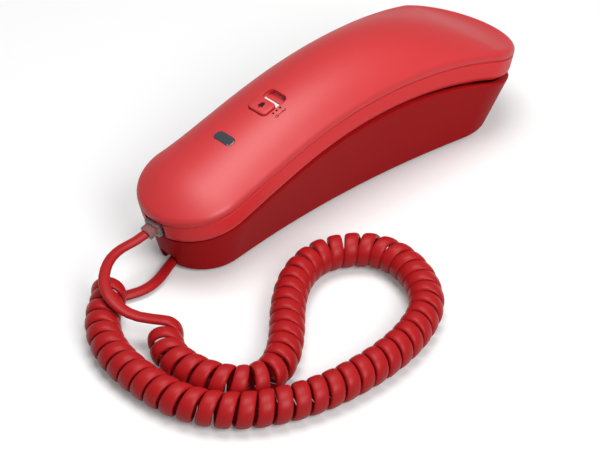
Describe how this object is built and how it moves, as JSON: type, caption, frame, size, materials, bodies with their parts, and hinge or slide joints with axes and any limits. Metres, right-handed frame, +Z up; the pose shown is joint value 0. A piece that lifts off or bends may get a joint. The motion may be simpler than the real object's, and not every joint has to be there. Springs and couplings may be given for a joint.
{
  "type": "corded landline phone",
  "caption": "Corded desk phone: an arched handset with keypad, ringer slide and lamp lies face down on a flared base with a hook switch, joined to it by a curly plug-in cord.",
  "frame": {"origin": "on the surface, under the middle of the phone without its cord", "axes": "+Z up; +Y along the phone to the earpiece end; +X to the right when looking along +Y"},
  "size_m": [0.1499, 0.2686, 0.0616],
  "materials": {
    "red_shell": "satin moulded plastic, deep red",
    "key_plastic": "satin moulded keys, off-white",
    "lens_plastic": "smooth smoked lens",
    "lamp_epoxy": "clear red epoxy",
    "white_plastic": "plain white plastic",
    "socket_plastic": "plain black plastic",
    "clear_plastic": "clear moulded plastic",
    "silicone": "matte silicone",
    "board": "solder-masked laminate",
    "foam": "open foam",
    "speaker_metal": "plated steel",
    "capsule_metal": "plain capsule",
    "screw_steel": "zinc plated",
    "foot_rubber": "soft matte rubber",
    "weight_steel": "plain steel plate",
    "cord_plastic": "soft red cord jacket"
  },
  "bodies": {
    "base": {"base_shell": "red_shell", "base_bottom_cover": "red_shell", "base_screws": "screw_steel", "rubber_feet": "foot_rubber", "base_cord_socket": "socket_plastic", "base_plug": "clear_plastic", "line_socket": "socket_plastic", "base_circuit_board": "board", "steel_weight": "weight_steel", "hook_switch": "white_plastic", "hook_spring": "screw_steel", "cord_curls": "cord_plastic", "cord_handset_lead": "cord_plastic", "cord_base_lead": "cord_plastic"},
    "handset": {"handset_back_shell": "red_shell", "handset_front_shell": "red_shell", "handset_screws": "screw_steel", "handset_socket": "socket_plastic", "handset_plug": "clear_plastic", "lamp_lens": "lens_plastic", "lamp": "lamp_epoxy", "ringer_switch_body": "white_plastic", "keypad_mat": "silicone", "handset_circuit_board": "board", "ringer": "socket_plastic", "earpiece_gasket": "foam", "earpiece_speaker": "speaker_metal", "microphone_boot": "silicone", "microphone": "capsule_metal"},
    "hook": {"hook_plunger": "red_shell"},
    "ringer_slider": {"ringer_knob": "red_shell"},
    "key_flash": {"key_flash": "key_plastic"},
    "key_redial": {"key_redial": "key_plastic"},
    "key_mute": {"key_mute": "key_plastic"},
    "key_star": {"key_star": "key_plastic"},
    "key_0": {"key_0": "key_plastic"},
    "key_hash": {"key_hash": "key_plastic"},
    "key_7": {"key_7": "key_plastic"},
    "key_8": {"key_8": "key_plastic"},
    "key_9": {"key_9": "key_plastic"},
    "key_4": {"key_4": "key_plastic"},
    "key_5": {"key_5": "key_plastic"},
    "key_6": {"key_6": "key_plastic"},
    "key_1": {"key_1": "key_plastic"},
    "key_2": {"key_2": "key_plastic"},
    "key_3": {"key_3": "key_plastic"}
  },
  "joints": [
    {"name": "handset_lift", "type": "slide", "parent": "base", "child": "handset", "axis": [0, 0, 1], "range_m": [0, 0.08]},
    {"name": "hook_rise", "type": "slide", "parent": "base", "child": "hook", "axis": [0, 0, 1], "range_m": [0, 0.004], "stiffness_N_per_m": 60, "springref_m": 0.006, "deforming": ["hook_spring"]},
    {"name": "ringer_slide", "type": "slide", "parent": "handset", "child": "ringer_slider", "axis": [0, 0.9755, 0.2198], "range_m": [0, 0.006]},
    {"name": "key_flash_press", "type": "slide", "parent": "handset", "child": "key_flash", "axis": [0, -0.1495, 0.9888], "range_m": [0, 0.0012], "stiffness_N_per_m": 800},
    {"name": "key_redial_press", "type": "slide", "parent": "handset", "child": "key_redial", "axis": [0, -0.1495, 0.9888], "range_m": [0, 0.0012], "stiffness_N_per_m": 800},
    {"name": "key_mute_press", "type": "slide", "parent": "handset", "child": "key_mute", "axis": [0, -0.1495, 0.9888], "range_m": [0, 0.0012], "stiffness_N_per_m": 800},
    {"name": "key_star_press", "type": "slide", "parent": "handset", "child": "key_star", "axis": [0, -0.1495, 0.9888], "range_m": [0, 0.0012], "stiffness_N_per_m": 800},
    {"name": "key_0_press", "type": "slide", "parent": "handset", "child": "key_0", "axis": [0, -0.1495, 0.9888], "range_m": [0, 0.0012], "stiffness_N_per_m": 800},
    {"name": "key_hash_press", "type": "slide", "parent": "handset", "child": "key_hash", "axis": [0, -0.1495, 0.9888], "range_m": [0, 0.0012], "stiffness_N_per_m": 800},
    {"name": "key_7_press", "type": "slide", "parent": "handset", "child": "key_7", "axis": [0, -0.1495, 0.9888], "range_m": [0, 0.0012], "stiffness_N_per_m": 800},
    {"name": "key_8_press", "type": "slide", "parent": "handset", "child": "key_8", "axis": [0, -0.1495, 0.9888], "range_m": [0, 0.0012], "stiffness_N_per_m": 800},
    {"name": "key_9_press", "type": "slide", "parent": "handset", "child": "key_9", "axis": [0, -0.1495, 0.9888], "range_m": [0, 0.0012], "stiffness_N_per_m": 800},
    {"name": "key_4_press", "type": "slide", "parent": "handset", "child": "key_4", "axis": [0, -0.1495, 0.9888], "range_m": [0, 0.0012], "stiffness_N_per_m": 800},
    {"name": "key_5_press", "type": "slide", "parent": "handset", "child": "key_5", "axis": [0, -0.1495, 0.9888], "range_m": [0, 0.0012], "stiffness_N_per_m": 800},
    {"name": "key_6_press", "type": "slide", "parent": "handset", "child": "key_6", "axis": [0, -0.1495, 0.9888], "range_m": [0, 0.0012], "stiffness_N_per_m": 800},
    {"name": "key_1_press", "type": "slide", "parent": "handset", "child": "key_1", "axis": [0, -0.1495, 0.9888], "range_m": [0, 0.0012], "stiffness_N_per_m": 800},
    {"name": "key_2_press", "type": "slide", "parent": "handset", "child": "key_2", "axis": [0, -0.1495, 0.9888], "range_m": [0, 0.0012], "stiffness_N_per_m": 800},
    {"name": "key_3_press", "type": "slide", "parent": "handset", "child": "key_3", "axis": [0, -0.1495, 0.9888], "range_m": [0, 0.0012], "stiffness_N_per_m": 800}
  ],
  "couplings": [
    {"joint": "hook_rise", "follows": "handset_lift", "ratio": 0.05}
  ]
}
